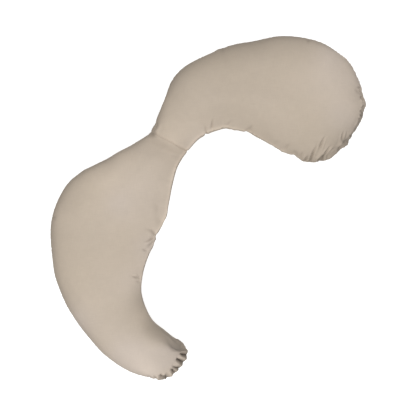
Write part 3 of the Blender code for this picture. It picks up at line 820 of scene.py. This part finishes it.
# Dye, wear and painted light: two close shades in soft clouds, pinker where the pink sheen is
# painted, paler where the cloth is rubbed beside the seams, painted shade down in the seams, and the
# painted light and shade of the patches.
mottle = ranged(noise(here, MOTTLE, 4), *NOISE_RANGE, 0.985, 1.015)
seam_shade = ranged(painted["seam_way"], 0.0, 0.0022, 0.97, 1.0)
rubbed = ranged(painted["seam_way"], 0.0035, 0.0120, 1.03, 1.0)
tone_and_painted_light = product(product(product(painted["tone_and_painted_light"], product(slub, mottle)), seam_shade), rubbed)
# The painted pink sheen of the patches, with soft clouds of the dye, sets how pink the satin is.
clouds = ranged(noise(here, CLOUDS, 2), *NOISE_RANGE, -0.12, 0.16)
pink_sheen_and_dye = {0: painted["painted_pink_sheen"], 1: clouds}
pink_sheen_and_dye = add_node(tree, "ShaderNodeMath", pink_sheen_and_dye, operation="ADD", use_clamp=True)
dye_and_sheen = {"Factor": pink_sheen_and_dye.outputs["Value"], "A": SATIN, "B": PINK_SATIN}
dye_and_sheen = add_node(tree, "ShaderNodeMix", dye_and_sheen, data_type="RGBA").outputs["Result"]
shade = add_node(tree, "ShaderNodeVectorMath", {0: dye_and_sheen, "Scale": tone_and_painted_light}, operation="SCALE")
gloss = ranged(noise(here, GLOSS, 3), *NOISE_RANGE, 0.70, 0.80)

# Relief: soft creasing of the cloth, the slubs and the weave.
relief = bumped(noise(here, CREASING, 3), 0.0012, 0.22)
relief = bumped(slub, 0.0006, 0.25, relief)
relief = bumped(weave, 0.00006, 0.30, relief)
plug(shader, {"IOR": 1.45, "Sheen Weight": 0.04, "Sheen Roughness": 0.5})
plug(shader, {"Base Color": shade.outputs["Vector"], "Roughness": gloss, "Normal": relief})
cover.data.materials.append(satin)

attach(cover, "root")
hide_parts("pillow")


# ---------------------------------------------------------------------------------------------
# The sewing: cotton thread, dyed a deeper taupe and wound tight. Small rungs of it hold the two
# panels together down in the edge seam, and short stitches run across both panels at the neck.
THREAD_RADIUS, THREAD_SIDES = 0.00028, 5
THREAD_SHADES = (0.34, 0.28, 0.22, 1), (0.50, 0.43, 0.35, 1)
TWIST, FUZZ = 2600, 900  # turns and tufts per metre of thread
RUNG_LENGTH, RUNG_PITCH = 0.0024, 0.0036
STITCH_LENGTH, STITCH_PITCH = 0.0030, 0.0040
STITCH_RISE, STITCH_BENDS = 0.0005, 4  # how far the middle of a stitch stands up, and its pieces
NECK_FREE = 3  # mesh columns at both ends of the neck's row without stitches
RESTING = 0.002  # and the cover has none where it lies lower than this

thread, tree, shader = new_material("cotton thread")
here = tree.nodes.new("ShaderNodeTexCoord").outputs["Object"]
twist = noise(here, TWIST, 1)
shades = add_node(tree, "ShaderNodeValToRGB", {"Fac": twist})
for stop, shade in zip(shades.color_ramp.elements, THREAD_SHADES):
    stop.color = shade
fuzz = ranged(noise(here, FUZZ, 1), *NOISE_RANGE, 0.55, 0.75)
relief = bumped(twist, 0.0001, 0.5)
plug(shader, {"Base Color": shades.outputs["Color"], "Roughness": fuzz, "Normal": relief})


def stitch_row(points, outward, lengthwise):
    """A polyline that the stitches follow, with the way they bulge and the way they lie."""
    mesh = bpy.data.meshes.new("stitch_row")
    edges = [(here, here + 1) for here in range(len(points) - 1)]
    mesh.from_pydata(points.tolist(), edges, [])
    for name, vectors in (("outward", outward), ("lengthwise", lengthwise)):
        values = vectors.astype(np.float32).ravel()
        mesh.attributes.new(name, "FLOAT_VECTOR", "POINT").data.foreach_set("vector", values)
    return mesh


def stitch_tree():
    """Stitches at an even pitch along the given polyline."""
    tree = bpy.data.node_groups.new("stitches", "GeometryNodeTree")
    tree.interface.new_socket("Geometry", in_out="INPUT", socket_type="NodeSocketGeometry")
    for name in ("Pitch", "Length", "Rise", "Radius"):
        tree.interface.new_socket(name, in_out="INPUT", socket_type="NodeSocketFloat")
    tree.interface.new_socket("Geometry", in_out="OUTPUT", socket_type="NodeSocketGeometry")
    given = tree.nodes.new("NodeGroupInput").outputs

    def add(kind, inputs, **settings):
        return add_node(tree, kind, inputs, **settings).outputs[0]

    line = add("GeometryNodeMeshToCurve", {"Mesh": given["Geometry"]})
    even = {"Curve": line, "Length": given["Pitch"]}
    even = add("GeometryNodeResampleCurve", even, mode="LENGTH")
    bow = {"Resolution": STITCH_BENDS, "Middle": add("ShaderNodeCombineXYZ", {"Z": given["Rise"]})}
    for end, share in (("Start", -0.5), ("End", 0.5)):
        away = add("ShaderNodeMath", {0: given["Length"], 1: share}, operation="MULTIPLY")
        bow[end] = add("ShaderNodeCombineXYZ", {"X": away})
    bow = add("GeometryNodeCurveQuadraticBezier", bow)
    around = {"Resolution": THREAD_SIDES, "Radius": given["Radius"]}
    around = add("GeometryNodeCurvePrimitiveCircle", around)
    stitch = {"Curve": bow, "Profile Curve": around, "Fill Caps": True}
    stitch = add("GeometryNodeCurveToMesh", stitch)
    axes = {}
    for name, axis in (("outward", "Primary Axis"), ("lengthwise", "Secondary Axis")):
        kind = "GeometryNodeInputNamedAttribute"
        axes[axis] = add(kind, {"Name": name}, data_type="FLOAT_VECTOR")
    turn = add("FunctionNodeAxesToRotation", axes, primary_axis="Z", secondary_axis="X")
    spread = {"Points": even, "Instance": stitch, "Rotation": turn}
    spread = add("GeometryNodeInstanceOnPoints", spread)
    solid = add("GeometryNodeRealizeInstances", {"Geometry": spread})
    dressed = add("GeometryNodeSetMaterial", {"Geometry": solid, "Material": thread})
    add_node(tree, "NodeGroupOutput", {"Geometry": dressed})
    return tree


upright = np.cross(seam_outward, way_round(seam_points))
rows_of_stitches = [(seam_points, seam_outward, upright, RUNG_PITCH, RUNG_LENGTH)]
for panel, side in ((upper, 1), (lower, -1)):
    line = panel[neck_row, NECK_FREE:-NECK_FREE]
    outward = surface_normals(panel, side)[neck_row, NECK_FREE:-NECK_FREE]
    lengthwise = unit(np.gradient(line, axis=0))
    free = line[:, 2] > RESTING
    row = line[free], outward[free], lengthwise[free], STITCH_PITCH, STITCH_LENGTH
    rows_of_stitches.append(row)

tree = stitch_tree()
stitch_points, stitch_faces = [], []
for points, outward, lengthwise, pitch, length in rows_of_stitches:
    row = in_scene("stitch_row", stitch_row(points, outward, lengthwise))
    sewing = row.modifiers.new("sewing", "NODES")
    sewing.node_group = tree
    sizes = {"Pitch": pitch, "Length": length, "Rise": STITCH_RISE, "Radius": THREAD_RADIUS}
    for item in tree.interface.items_tree:
        if item.in_out == "INPUT" and item.name in sizes:
            sewing[item.identifier] = sizes[item.name]
    evaluated = row.evaluated_get(bpy.context.evaluated_depsgraph_get())
    sewn = bpy.data.meshes.new_from_object(evaluated)
    bpy.data.objects.remove(row)
    start = sum(map(len, stitch_points))
    stitch_points.append(points_of(sewn))
    stitch_faces += [[start + corner for corner in face.vertices] for face in sewn.polygons]
stitch_mesh = bpy.data.meshes.new("pillow_stitches")
stitch_mesh.from_pydata(np.vstack(stitch_points).tolist(), [], stitch_faces)
stitch_mesh.update()
stitch_mesh.materials.append(thread)
stitches = in_scene("pillow_stitches", stitch_mesh)
stitches.data.shade_smooth()

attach(stitches, "root")


# ---------------------------------------------------------------------------------------------
# The studio: a plain white sheet under the pillow, a ceiling that glows softly, two large lamps past
# the tail and past the bend, and the camera straight above.
FLOOR_SIDE, FLOOR_DROP = 12.0, 0.0005
floor_mesh = bpy.data.meshes.new("floor")
half = FLOOR_SIDE / 2
corners = [(x, y, -FLOOR_DROP) for x, y in ((-half, -half), (half, -half), (half, half), (-half, half))]
floor_mesh.from_pydata(corners, [], [(0, 1, 2, 3)])
floor = in_scene("floor", floor_mesh)
paper, tree, shader = new_material("white paper")
plug(shader, {"Base Color": (0.9, 0.9, 0.9, 1), "Roughness": 0.9})
plug(shader, {"Emission Color": (1, 1, 1, 1), "Emission Strength": 0.5})
floor.data.materials.append(paper)
floor.visible_diffuse = False
floor.visible_glossy = False
floor.visible_shadow = False

# The sky: how bright it is at each height, from -1 straight below to 1 straight above. The part
# below stands for the light that a pale sheet throws back.
SKY = ((-0.12, 0.28), (-0.02, 0.18), (0.20, 0.16), (0.85, 1.50))
BRIGHTEST = 2.0
world = bpy.data.worlds.new("studio")
scene.world = world
world.use_nodes = True
tree = world.node_tree
direction = tree.nodes.new("ShaderNodeTexCoord").outputs["Generated"]
height = add_node(tree, "ShaderNodeSeparateXYZ", {"Vector": direction}).outputs["Z"]
sky = add_node(tree, "ShaderNodeValToRGB", {"Fac": ranged(height, -1, 1, 0, 1)})
while len(sky.color_ramp.elements) < len(SKY):
    sky.color_ramp.elements.new(0.5)
for stop, (level, brightness) in zip(sky.color_ramp.elements, SKY):
    stop.position = (level + 1) / 2
    stop.color = (*[brightness / BRIGHTEST] * 3, 1)
plug(tree.nodes["Background"], {"Color": sky.outputs["Color"], "Strength": BRIGHTEST})

LAMP_SIDE, LAMP_AIM = 1.6, Vector((0, 0, 0.12))
LAMPS = (("key", (-0.42, -2.15, 1.10), 19), ("fill", (1.90, -0.90, 1.32), 3))
for name, place, watts in LAMPS:
    lamp = bpy.data.lights.new(name, "AREA")
    lamp.size = LAMP_SIDE
    lamp.energy = watts
    light = in_scene(name, lamp)
    light.location = place
    light.rotation_euler = (LAMP_AIM - Vector(place)).to_track_quat("-Z", "Y").to_euler()
    light.visible_camera = False

PHOTO_SIDE = 416
PIXEL = 0.0033  # metres across one pixel of the photograph, at the height of the outline
CAMERA_HEIGHT, OUTLINE_HEIGHT = 7.0, 0.08
SENSOR = 36.0  # millimetres, as is the focal length
lens = bpy.data.cameras.new("camera")
lens.sensor_width = SENSOR
lens.lens = SENSOR * (CAMERA_HEIGHT - OUTLINE_HEIGHT) / (PHOTO_SIDE * PIXEL)
camera = in_scene("camera", lens)
camera.location = (0, 0, CAMERA_HEIGHT)
scene.camera = camera
scene.view_settings.view_transform = "Standard"
